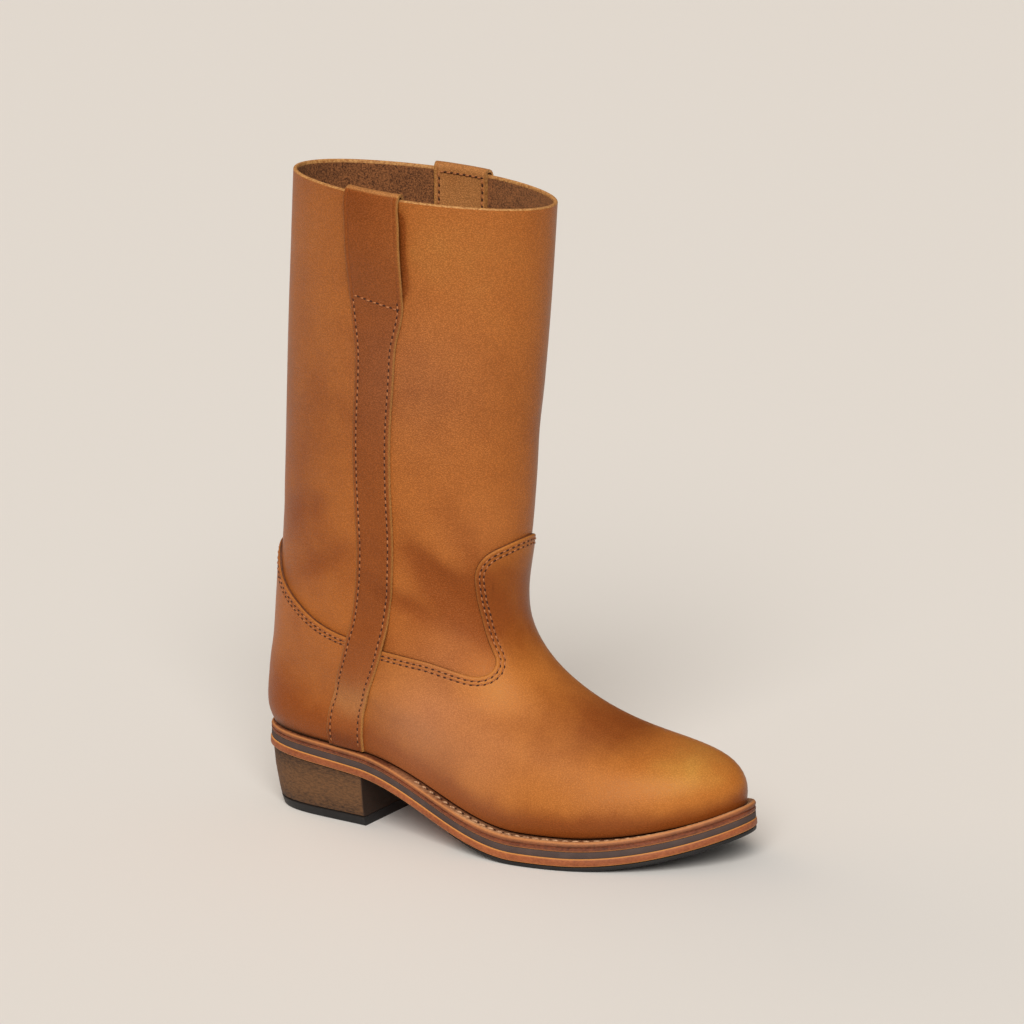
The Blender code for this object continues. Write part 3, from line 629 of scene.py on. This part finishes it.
def makeOverlay(name, table, middle, backward, materials, node):
    line = edgeLine(table, middle)[:: -1 if backward else 1]
    band = np.array(overlay["band"][::-1])
    inset = np.array([insetFromEdge(line, distance) for distance in band])
    foot = np.stack([line[:, 2], np.full(len(line), overlay["foot"])])
    shares = np.linspace(0, 1, overlay["rows"], endpoint=False)[:, None, None]
    rows = np.concatenate([foot + (inset[0] - foot) * shares, inset])
    relief = reliefAt(band, overlay["roll"], overlay["groove"], overlay["rows of thread"])
    rim = overlay["rim wear"] * np.exp(-((band / overlay["rim width"]) ** 2))
    relief, rim = (np.pad(values, (overlay["rows"], 0))[:, None] for values in (relief, rim))
    outer = skinPoint(rows[:, 0], rows[:, 1], overlay["top"] + relief)
    inner = skinPoint(rows[:, 0], rows[:, 1], overlay["under"])
    count = len(outer)
    slots = np.array([*np.zeros(count - 1), 1, *np.zeros(count - 1), 0])
    points = np.concatenate([outer, inner[::-1]])
    wear = np.pad(rim, ((0, count), (0, 0)))
    dress(layGrid(name, points, slots, True, False, **leatherFields(points, wear)), materials, node)
    threads = []
    for row in overlay["rows of thread"]:
        turn, level = insetFromEdge(line, row)
        seat = skinPoint(turn, level, overlay["top"] - overlay["groove"])
        threads.append((seat, skinFrame(turn, level)[3]))
    return threads


vampThreads = makeOverlay("vamp_leather", vampEdge, math.pi, True, [vampLeather, darkEdge], "vamp")
counterThreads = makeOverlay(
    "counter_leather", counterEdge, 0.0, False, [shaftLeather, darkEdge], "counter"
)

# Side strips: a ribbon up the seam, a pull loop, the fold over the collar and a tab inside
strip = {
    "leather": 1.6,
    "foot": 0.006,
    "step": 1.6,
    "across": (0.0, 0.25, 0.6, 1.1, 1.8, 2.2, 2.6, 3.0, 3.5, 4.6, 6.2, 8.4),
    "last column": 0.42,  # share of the width
    "thread": 2.6,
    "groove": 0.3,
    "roll": 0.6,
    "rim wear": 0.6,
    "rim width": 0.5,
    "centre at collar": 98.8,
    "width at collar": 33.0,
    "cross row": 296.0,
    "cross lean": 7.5,
    "cross lift": -0.1,
    "row ends": 2.0,
    "tab start": 14.0,
    "tab tone": 1.1,
    "tab row": 24.5,
    "foot tone": 0.75,
    "foot bulge": 38.0,
    "foot reach": 45.0,
    "search points": 3000,
    "row points": 400,
    "cross points": 60,
}
# z, centre, width, stand-off of the underside
stripRows = np.array([
    (45.3, 66.9, 23.4, 2.4), (52.0, 66.9, 23.3, 2.4), (60.0, 67.8, 23.1, 2.4), (70.0, 70.6, 22.8, 2.4),
    (80.0, 74.6, 22.9, 2.4), (91.0, 78.8, 23.2, 2.4), (102.0, 82.8, 23.0, 2.4), (109.0, 85.1, 22.7, 2.3),
    (114.0, 86.5, 22.4, 1.4), (120.0, 87.8, 22.2, 0.5), (135.0, 90.6, 21.8, 0.3), (159.0, 93.0, 21.8, 0.3),
    (187.0, 93.0, 22.3, 0.3), (225.0, 93.8, 23.0, 0.3), (261.0, 97.0, 23.8, 0.3), (273.0, 97.9, 25.2, 0.3),
    (283.0, 98.8, 28.8, 0.3), (291.0, 99.4, 31.2, 0.4), (299.0, 99.8, 31.6, 1.7), (309.0, 100.1, 31.6, 3.2),
    (320.0, 100.2, 31.8, 4.6), (332.0, 100.0, 32.2, 4.5), (341.0, 99.5, 32.7, 3.6),
])
# height over the collar and stand-off of the outer face
foldRows = np.array([
    (-5.0, 4.2), (-1.5, 3.5), (1.3, 2.3), (2.6, 0.6), (2.9, -1.1), (2.6, -2.8), (1.2, -4.1), (-2.0, -4.3),
    (-15.0, -4.2), (-30.0, -4.2), (-45.0, -4.2), (-60.0, -4.2),
])


def ribbonPath():
    # level, centre, width and stand-off of the outer face along the ribbon
    _, level = sideSpot(stripRows[:, 1], stripRows[:, 0])
    rising = np.column_stack([level, stripRows[:, 1:3], stripRows[:, 3] + strip["leather"]])
    rising[0, 0] = strip["foot"]
    folding = np.column_stack([
        1 + foldRows[:, 0] / last["shaftLength"], np.full(len(foldRows), strip["centre at collar"]),
        np.full(len(foldRows), strip["width at collar"]), foldRows[:, 1],
    ])
    rows = np.concatenate([rising, folding])
    run = runLength(rows[:, [0, 3]] * (last["shaftLength"], 1.0))
    return smoothCurve(run, rows), run[-1], run[len(stripRows) - 1]


ribbonAt, ribbonLength, loopTop = ribbonPath()


def ribbonPoints(side, along, fromEdge, front, lift=0.0):
    # points of the ribbon's outer face, this far from its front or back edge
    level, centre, width, out = ribbonAt(along).T
    x = centre + np.where(front, width / 2 - fromEdge, fromEdge - width / 2)
    turn = side * turnAt(x, np.minimum(level, 1.0))
    return skinPoint(turn, level, out + lift)


def makeStrip(name, side, node):
    along = np.linspace(0, ribbonLength, int(ribbonLength / strip["step"]))
    width = ribbonAt(along)[:, 2]
    columns = [np.full(len(along), d) for d in strip["across"]] + [width * strip["last column"]]
    spots = [(d, False) for d in columns] + [(width / 2, False)] + [(d, True) for d in columns[::-1]]
    flat = np.array([ribbonPoints(side, along, d, front) for d, front in spots])
    outer = []
    for d, front in spots:
        relief = reliefAt(d, strip["roll"], strip["groove"], (strip["thread"],))
        outer.append(ribbonPoints(side, along, d, front, relief))
    across, up = np.gradient(flat, axis=0), np.gradient(flat, axis=1)
    inner = flat - unit(np.cross(across, up) * side) * strip["leather"]
    count = len(spots)
    slots = np.array([*np.zeros(count - 1), 1, *np.full(count - 1, 2), 1])
    points = np.concatenate([outer, inner[::-1]])
    rims = strip["rim wear"] * np.exp(-((np.array([d for d, _ in spots]) / strip["rim width"]) ** 2))
    wear = np.concatenate([rims, np.zeros_like(rims)])
    # paler where the foot pulls it, partly a painted highlight on the bulge there, and on the tab, which is
    # out of the sun inside
    fresh = strip["tab tone"] * (along > loopTop + strip["tab start"])
    foot = strip["foot tone"] * np.exp(-(((along - strip["foot bulge"]) / strip["foot reach"]) ** 2))
    piece = layGrid(name, points, slots, True, False, **leatherFields(points, wear, fresh + foot))
    dress(piece, [stripLeather, paleEdge, flesh], node)


makeStrip("side_strip_outer_leather", 1, "side_strip_outer")
makeStrip("side_strip_inner_leather", -1, "side_strip_inner")

# Sole: every layer follows the feather line, moved outward by the ledge
sole = {
    "around": 320,
    "ledge at": (0.0, 0.13, 0.30, 0.45, 0.68, 0.90, 1.0),
    "ledge": (2.2, 2.4, 3.8, 5.4, 7.0, 6.4, 4.8),
    "overlay": 2.1,
    "cap rows": (0.0, 0.35, 0.7, 0.92),
}
ledgeAt = smoothCurve(sole["ledge at"], sole["ledge"])
soleTurns = np.arange(sole["around"]) * 2 * np.pi / sole["around"]
soleShares = lengthShare(soleTurns)


def featherPlan(turn):
    return lastSkin(turn, np.zeros_like(turn))[:, :2]


def planOutline(turn, edge, inside=False):
    e = 1e-3
    along = featherPlan(turn + e) - featherPlan(turn - e)
    normal = unit(np.stack([along[:, 1], -along[:, 0]], axis=1))
    base = 0.0 if inside else sole["overlay"] + ledgeAt(lengthShare(turn))[:, 0]
    return featherPlan(turn) + normal * (base + np.broadcast_to(edge, turn.shape))[:, None]


def soleRing(turn, edge, depth, inside=False):
    plan = planOutline(turn, edge, inside)
    return np.column_stack([plan, soleHeight(plan[:, 0]) - depth])


def capRings(turn, edge, depth, inside=False):
    # rings that close a layer towards the middle line of the sole
    rim = planOutline(turn, edge, inside)
    spine = (rim + planOutline(-turn, edge, inside)) / 2
    rings = []
    for share in sole["cap rows"]:
        plan = spine + (rim - spine) * share
        rings.append(np.column_stack([plan, soleHeight(plan[:, 0]) - depth]))
    return rings


def makeLayer(name, profile, materials, node, turn=soleTurns, inside=False, skive=((0.0,), (1.0,))):
    # profile: edge, depth, wear, from the underside round the edge to the top
    # skive: places along x and the share of the thickness that is left there
    edge, depth, wear = np.array(profile).T
    rings = capRings(turn, edge[0], depth[0], inside)
    rings += [soleRing(turn, e, d, inside) for e, d in zip(edge, depth)]
    rings += capRings(turn, edge[-1], depth[-1], inside)[::-1]
    points = np.array(rings)
    roof = soleHeight(points[..., 0]) - depth[-1]
    points[..., 2] = roof - (roof - points[..., 2]) * np.interp(points[..., 0], *skive)
    wear = np.pad(wear, len(sole["cap rows"]))[:, None]
    piece = layGrid(name, points, np.zeros(len(points)), False, True, wear=wear, raw=0.0)
    dress(piece, materials, node)


# Welt: edge, depth, wear and raw, from the underside up the side with its groove, over the bead to the ledge
weltProfile = [
    (-6.0, 4.7, 0.0, 0.0), (-0.3, 4.7, 0.9, 0.0), (0.0, 4.5, 0.9, 0.0), (0.15, 4.2, 0.1, 0.0),
    (0.2, 3.5, 0.0, 0.0), (0.1, 3.05, 0.0, 0.0), (-0.4, 2.8, 0.0, 0.0), (-0.4, 2.5, 0.0, 0.0),
    (0.05, 2.25, 0.1, 0.0), (0.2, 1.8, 0.15, 0.0), (0.1, 1.3, 0.25, 0.0), (-0.1, 0.95, 0.5, 0.0),
    (-0.35, 0.65, 0.8, 0.2), (-0.75, 0.35, 0.4, 0.7), (-1.3, 0.12, 0.0, 1.0), (-2.2, 0.0, 0.0, 1.0),
    (-3.0, 0.05, 0.0, 1.0),
]
weltInside = [(-1.0, 0.1), (-4.0, 0.1), (-11.0, 0.1), (-11.0, 4.7)]
# along the forefoot the ledge's rim curls up, most at the toe
weltCurl = {
    "at": (0.0, 0.4, 0.55, 0.8, 1.0),
    "rise": (0.0, 0.0, 0.7, 1.0, 1.7),
    "depth": 4.7,
    "foot": -3.2,
    "run": 1.5,
}
# the ledge is dyed round the heel and bare along the forefoot
weltPale = {"at": (0.3, 0.55), "share": (0.1, 1.0)}
curl = np.interp(soleShares, weltCurl["at"], weltCurl["rise"])
weltRings = []
for e, d, _, _ in weltProfile:
    share = np.clip(1 - d / weltCurl["depth"], 0, 1) * np.clip((e - weltCurl["foot"]) / weltCurl["run"], 0, 1)
    weltRings.append(soleRing(soleTurns, e, d - curl * share))
weltRings += [soleRing(soleTurns, e, d, True) for e, d in weltInside]
weltWear, weltRaw = np.pad(np.array(weltProfile)[:, 2:], ((0, len(weltInside)), (0, 0))).T
bare = np.interp(soleShares, weltPale["at"], weltPale["share"])
weltFields = {"wear": weltWear[:, None], "raw": weltRaw[:, None] * bare}
weltPiece = layGrid("welt_leather", np.array(weltRings), np.zeros(len(weltRings)), True, True, **weltFields)
dress(weltPiece, [weltLeather], "welt")

midsoleProfile = [(0.1, 8.3, 0.0), (0.25, 8.0, 0.0), (0.2, 6.6, 0.0), (0.1, 5.1, 0.0), (-0.1, 4.8, 0.0)]
makeLayer("midsole_rubber", midsoleProfile, [greyRubber], "midsole")
outsoleProfile = [
    (-0.2, 12.75, 0.9), (0.5, 12.55, 1.0), (0.8, 12.3, 0.4), (0.9, 11.9, 0.0), (0.85, 10.5, 0.0),
    (0.75, 9.2, 0.0), (0.6, 8.8, 0.3), (0.35, 8.5, 1.0), (0.1, 8.4, 1.0),
]
makeLayer("outsole_leather", outsoleProfile, [outsoleLeather], "outsole")
insoleProfile = [
    (-11.4, 4.7, 0.0), (-11.4, -0.3, 0.0), (-3.2, -0.8, 0.0), (-2.6, -1.6, 0.0), (-3.2, -3.1, 0.0),
]
makeLayer("insole_leather", insoleProfile, [insoleLeather], "insole", inside=True)

# Half sole: cut straight across in the waist and skived thin there
halfSole = {
    "start": 142.0,
    "points": 220,
    "skive": ((142.0, 176.0), (0.12, 1.0)),
    "edge": 0.4,
    "search": (0.6, math.pi, 4000),  # turns among which the start is looked for
}
halfSoleProfile = [(-0.5, 15.2, 0.0), (0.1, 15.1, 0.0), (0.45, 14.7, 0.0), (0.5, 13.8, 0.0), (0.4, 13.0, 0.0)]


def turnFrom(x):
    # where the outline passes this x, as a mean of its two sides
    fine = np.linspace(*halfSole["search"])
    outer, inner = (
        fine[np.argmax(planOutline(turn, halfSole["edge"])[:, 0] >= x)] for turn in (fine, 2 * np.pi - fine)
    )
    return (outer + inner) / 2


firstTurn = turnFrom(halfSole["start"])
halfTurns = np.linspace(firstTurn, 2 * np.pi - firstTurn, halfSole["points"])
makeLayer(
    "half_sole_rubber", halfSoleProfile, [blackRubber], "half_sole", halfTurns,
    skive=halfSole["skive"],
)

# Heel: a stacked block with a flat breast and a rubber lift
heel = {
    "breast": 77.0,
    "sweep": 1.4,
    "back sweep": 0.98,
    "points": 150,
    "breast points": 24,
    "fine points": 2001,
    "top depth": 13.0,
    "top round": 0.4,
    "breast reach": 0.05,
}
# outward at the sides, outward at the back, height (None is the outsole's underside)
blockRings = [
    (-3.6, -5.2, 5.5), (-3.1, -4.7, 5.9), (-2.5, -3.9, 9.5), (-1.8, -2.8, 16.0), (-1.2, -1.8, 22.0),
    (-0.5, -0.8, None), (-0.9, -1.2, None),
]
liftRings = [(-4.6, -7.0, 0.0), (-3.9, -6.3, 0.5), (-3.5, -5.7, 2.4), (-3.1, -4.9, 4.7), (-3.5, -5.2, 5.2)]


def heelRing(side, back, height, lower):
    turn = np.linspace(-heel["sweep"], heel["sweep"], heel["fine points"])
    backness = np.cos(np.clip(turn / heel["back sweep"], -1, 1) * np.pi / 2) ** 2
    plan = planOutline(turn, side + (back - side) * backness)
    plan = plan[plan[:, 0] <= heel["breast"]]
    plan[[0, -1], 0] = heel["breast"]
    run = runLength(plan)
    curve = alongLine(np.linspace(0, run[-1], heel["points"]), run, plan)
    shares = np.linspace(0, 1, heel["breast points"] + 2)[1:-1, None]
    plan = np.concatenate([curve, curve[-1] + (curve[0] - curve[-1]) * shares])
    if height is None:
        return np.column_stack([plan, soleHeight(plan[:, 0]) - heel["top depth"] - lower])
    return np.column_stack([plan, np.full(len(plan), height)])


def makeHeel(name, rings, materials, node):
    lower = np.zeros(len(rings))
    lower[-2] = heel["top round"]
    points = np.array([heelRing(*ring, drop) for ring, drop in zip(rings, lower)])
    middle = np.broadcast_to(points.mean(axis=1, keepdims=True), points.shape)
    halfway = points * 0.5 + middle * 0.5
    points = np.concatenate([[middle[0], halfway[0]], points, [halfway[-1], middle[-1]]])
    # the breast gets the nearly black dye and painted shade
    breast = (points[..., 0] > heel["breast"] - heel["breast reach"]) * 1.0
    dress(layGrid(name, points, np.zeros(len(points)), False, True, breast=breast), materials, node)


makeHeel("heel_block_leather", blockRings, [heelLeather], "heel_block")
makeHeel("heel_lift_rubber", liftRings, [blackRubber], "heel_lift")

# Thread: one stitch is a short rounded cord whose ends dip into their holes
stitch = {
    "pitch": 3.7, "length": 2.5, "thick": 0.5, "proud": 0.05, "slant": 7.0, "sides": 6,
    "hole": (2.0, 0.52, 0.26),  # length, half width, height
}
weltStitch = {
    "pitch": 5.6, "length": 4.2, "thick": 0.6, "proud": 0.1, "slant": 4.0, "sides": 6,
    "hole": (1.4, 0.45, 0.2),
    "from": 0.38,  # sewn from the waist round the toe and back
    "edge": -3.9,
    "depth": 0.05,
}
# stations along the cord: how far along, how thick, how high
stitchStations = [
    (-0.5, 0.35, -0.55), (-0.36, 0.85, 0.0), (0.0, 1.0, 0.22), (0.36, 0.85, 0.0), (0.5, 0.35, -0.55),
]
holeForm = {"sides": 8, "sunk": 0.3, "brow": (0.46, 0.85)}  # the brow in shares of the length and half width


def stitchFrames(points, normals, size):
    # places, directions and normals of evenly spaced stitches along a line
    run = runLength(points)
    count = max(2, int(run[-1] / size["pitch"]))
    spots = (np.arange(count) + 0.5) * run[-1] / count
    near = 0.5
    normal = unit(alongLine(spots, run, normals))
    direction = alongLine(spots + near, run, points) - alongLine(spots - near, run, points)
    direction = unit(direction - normal * (direction * normal).sum(axis=1)[:, None])
    lean = math.radians(size["slant"])
    slanted = direction * math.cos(lean) + np.cross(normal, direction) * math.sin(lean)
    return alongLine(spots, run, points), slanted, normal


def tubeFaces(rings, sides):
    # side faces between rings of points, and a face at each end
    faces = [
        (k * sides + j, k * sides + (j + 1) % sides, (k + 1) * sides + (j + 1) % sides, (k + 1) * sides + j)
        for k in range(rings - 1) for j in range(sides)
    ]
    return faces + [tuple(range(sides))[::-1], tuple(range((rings - 1) * sides, rings * sides))]


def stitchShape(size):
    ring = np.arange(size["sides"]) * 2 * np.pi / size["sides"]
    shape = []
    for along, thick, high in stitchStations:
        shape.append(np.column_stack([
            np.full(len(ring), along * size["length"]), np.cos(ring) * size["thick"] * thick,
            size["proud"] + size["thick"] * high + np.sin(ring) * size["thick"] * thick,
        ]))
    return np.concatenate(shape), tubeFaces(len(stitchStations), size["sides"])


def holeShape(size):
    # a low dark lens at the end of each stitch: the painted shade of its hole
    length, half, high = size["hole"]
    sides, (browLong, browWide) = holeForm["sides"], holeForm["brow"]
    ring = np.arange(sides) * 2 * np.pi / sides
    x, y = np.cos(ring) * length, np.sin(ring) * half
    rim = np.column_stack([x / 2, y, np.full(sides, -holeForm["sunk"])])
    brow = np.column_stack([x * browLong, y * browWide, np.full(sides, high)])
    return np.concatenate([rim, brow]), tubeFaces(2, sides)


def sewCopies(name, spots, template, ahead, material):
    shape, faces = template
    points, allFaces = [], []
    for place, direction, normal in spots:
        side = np.cross(normal, direction)
        for p, d, s, n in zip(place, direction, side, normal):
            start = len(points) * len(shape)
            points.append(p + (shape[:, :1] + ahead) * d + shape[:, 1:2] * s + shape[:, 2:] * n)
            allFaces += [tuple(start + v for v in face) for face in faces]
    mesh = bpy.data.meshes.new(name)
    mesh.from_pydata(toFrame(np.concatenate(points)).tolist(), [], allFaces)
    piece = bpy.data.objects.new(name, mesh)
    bpy.context.scene.collection.objects.link(piece)
    bpy.context.view_layer.objects.active = piece
    piece.select_set(True)
    bpy.ops.object.mode_set(mode="EDIT")
    bpy.ops.mesh.select_all(action="SELECT")
    bpy.ops.mesh.normals_make_consistent(inside=False)
    bpy.ops.object.mode_set(mode="OBJECT")
    bpy.ops.object.shade_smooth()
    piece.select_set(False)
    dress(piece, [material], None)


def sewLines(name, lines, size, material):
    spots = [stitchFrames(line, normals, size) for line, normals in lines]
    sewCopies(name + "_thread", spots, stitchShape(size), 0.0, material)
    sewCopies(name + "_holes", spots, holeShape(size), size["pitch"] / 2, needleHoleShade)


def ribbonLine(side, along, fromEdge, front, lift):
    # a line on the ribbon's outer face, with its normals
    e = 0.3
    up = ribbonPoints(side, along + e, fromEdge, front) - ribbonPoints(side, along - e, fromEdge, front)
    across = ribbonPoints(side, along, fromEdge + e, front) - ribbonPoints(side, along, fromEdge - e, front)
    normal = np.cross(across, up) * side * (-1 if front else 1)
    return ribbonPoints(side, along, fromEdge, front, lift), unit(normal)


def stripLines(side):
    # two rows up the strip and two on the tab, with a row across each
    lines = []
    climb = np.linspace(0, ribbonLength, strip["search points"])
    height = lastSkin(np.full(len(climb), math.pi / 2), ribbonAt(climb)[:, 0])[:, 2]
    crossAt = climb[np.argmax(height > strip["cross row"])]
    tabFrom = loopTop + strip["tab row"]
    for start, stop in ((strip["row ends"], crossAt), (tabFrom, ribbonLength - strip["row ends"])):
        along = np.linspace(start, stop, strip["row points"])
        fromEdge = np.full(len(along), strip["thread"])
        for front in (False, True):
            lines.append(ribbonLine(side, along, fromEdge, front, -strip["groove"]))
    for place, drop in ((crossAt, strip["cross lean"]), (tabFrom, 0.0)):
        width = ribbonAt([place])[0, 2]
        across = np.linspace(strip["thread"], width - strip["thread"], strip["cross points"])
        along = place + drop * (0.5 - across / width)
        lines.append(ribbonLine(side, along, across, False, strip["cross lift"]))
    return lines


sewLines("vamp", vampThreads, stitch, brownThread)
sewLines("counter", counterThreads, stitch, brownThread)
sewLines("strip_outer", stripLines(1), stitch, brownThread)
sewLines("strip_inner", stripLines(-1), stitch, brownThread)
weltLine = soleRing(soleTurns[soleShares > weltStitch["from"]], weltStitch["edge"], weltStitch["depth"])
weltNormals = np.tile((0.0, 0.0, 1.0), (len(weltLine), 1))
sewLines("welt", [(weltLine, weltNormals)], weltStitch, paleThread)

# Floor, light and camera
studio = {
    "floor": 8.0,  # metres across
    "paper": "#e2e4e7",
    "room": "#ebe4da",
    "mirrored room": "#c08a58",
    "room light": 0.39,
}
bpy.ops.object.select_all(action="DESELECT")
bpy.ops.mesh.primitive_plane_add(size=studio["floor"])
floor = bpy.context.object
floor.name = "floor"
floorPaper, floorShader = newMaterial("pale_studio_paper")  # matt uncoated paper, even and without shine
wire(floorPaper, floorShader, {"Base Color": colour(studio["paper"]), "Roughness": 0.85})
floor.data.materials.append(floorPaper)

view = {
    "azimuth": 30.07,
    "elevation": 12.94,
    "distance": 2608.0,
    "aim": (6.02, 1.71, 177.69),
    "lens": 170.5,
    "sensor": 36.0,
    "roll": -0.77,
    "clip": 20.0,  # metres
}
az, el = math.radians(view["azimuth"]), math.radians(view["elevation"])
back = np.array([math.sin(az) * math.cos(el), -math.cos(az) * math.cos(el), math.sin(el)])
aim = np.array(view["aim"]) * mm
bpy.ops.object.camera_add(location=aim + back * view["distance"] * mm)
camera = bpy.context.object
camera.rotation_euler = (math.pi / 2 - el, 0.0, az)
camera.rotation_euler.rotate_axis("Z", math.radians(view["roll"]))
camera.data.lens = view["lens"]
camera.data.sensor_width = view["sensor"]
camera.data.clip_end = view["clip"]
bpy.context.scene.camera = camera

# Wide soft sources so far off that they light the whole floor evenly.
# name, azimuth, elevation, width seen from the boot in degrees, watts to the square metre, colour
studioLights = [
    ("key", 25.0, 38.0, 38.0, 2.9, "#fff6ea"),
    ("left fill", -95.0, 30.0, 42.0, 0.45, "#ffdcb4"),
    ("inner fill", 245.0, 30.0, 42.0, 0.35, "#ffe6c8"),
]
for name, lightAz, lightEl, width, strength, tint in studioLights:
    lightTilt = math.pi / 2 - math.radians(lightEl)
    bpy.ops.object.light_add(type="SUN", rotation=(lightTilt, 0.0, math.radians(lightAz)))
    lamp = bpy.context.object
    lamp.name = name
    lamp.data.angle = math.radians(width)
    lamp.data.energy = strength
    lamp.data.color = colour(tint)[:3]
    lamp.visible_glossy = name == "key"  # the fills only lift the shade, they put no shine on the leather
world = bpy.context.scene.world or bpy.data.worlds.new("studio")
bpy.context.scene.world = world
world.use_nodes = True
# the room is pale where it lights the floor and warm where the leather mirrors it
mirrored = addNode(world, "LightPath")["Is Glossy Ray"]
roomColours = {0: mirrored, 6: colour(studio["room"]), 7: colour(studio["mirrored room"])}
room = addNode(world, "Mix", roomColours, data_type="RGBA")[2]
wire(world, world.node_tree.nodes["Background"], {"Color": room, "Strength": studio["room light"]})
bpy.context.scene.view_settings.view_transform = "Standard"
print("scene: floor, light and camera ready")
